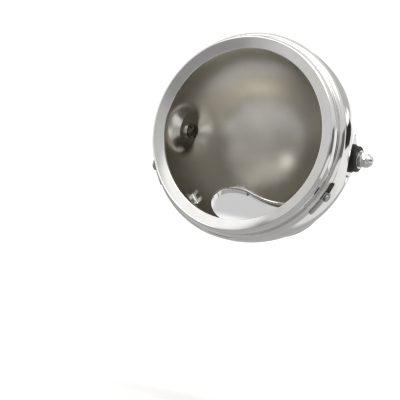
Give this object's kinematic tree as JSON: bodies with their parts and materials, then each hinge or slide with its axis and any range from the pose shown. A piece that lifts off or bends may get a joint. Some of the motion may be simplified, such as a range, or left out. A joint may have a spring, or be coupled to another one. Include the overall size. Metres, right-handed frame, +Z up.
{
  "type": "motorcycle headlight housing",
  "caption": "Empty round chrome headlight housing for a motorcycle: dished trim ring, deep bowl with a wiring opening, side bolts with rubber spacers and cap nuts.",
  "frame": {"origin": "where the axis of the side bolts crosses the beam axis", "axes": "+X to the side along the bolts, beam out along -Y, +Z up"},
  "size_m": [0.2266, 0.1276, 0.202],
  "materials": {
    "chrome": "polished chrome plate on pressed steel",
    "plated_steel": "bright zinc plate",
    "spring_steel": "bright spring strip",
    "black_rubber": "matt moulded rubber"
  },
  "bodies": {
    "root": {"bucket": "chrome", "trim_ring": "chrome", "left_mount_bolt": "plated_steel", "left_inner_washer": "plated_steel", "left_rubber_spacer": "black_rubber", "left_flat_washer": "plated_steel", "left_spring_washer": "plated_steel", "left_cap_nut": "plated_steel", "left_ring_bracket": "plated_steel", "left_bracket_washer": "plated_steel", "left_bracket_screw": "plated_steel", "right_mount_bolt": "plated_steel", "right_inner_washer": "plated_steel", "right_rubber_spacer": "black_rubber", "right_flat_washer": "plated_steel", "right_spring_washer": "plated_steel", "right_cap_nut": "plated_steel", "right_ring_bracket": "plated_steel", "right_bracket_washer": "plated_steel", "right_bracket_screw": "plated_steel", "cable_clip": "spring_steel"}
  },
  "joints": []
}
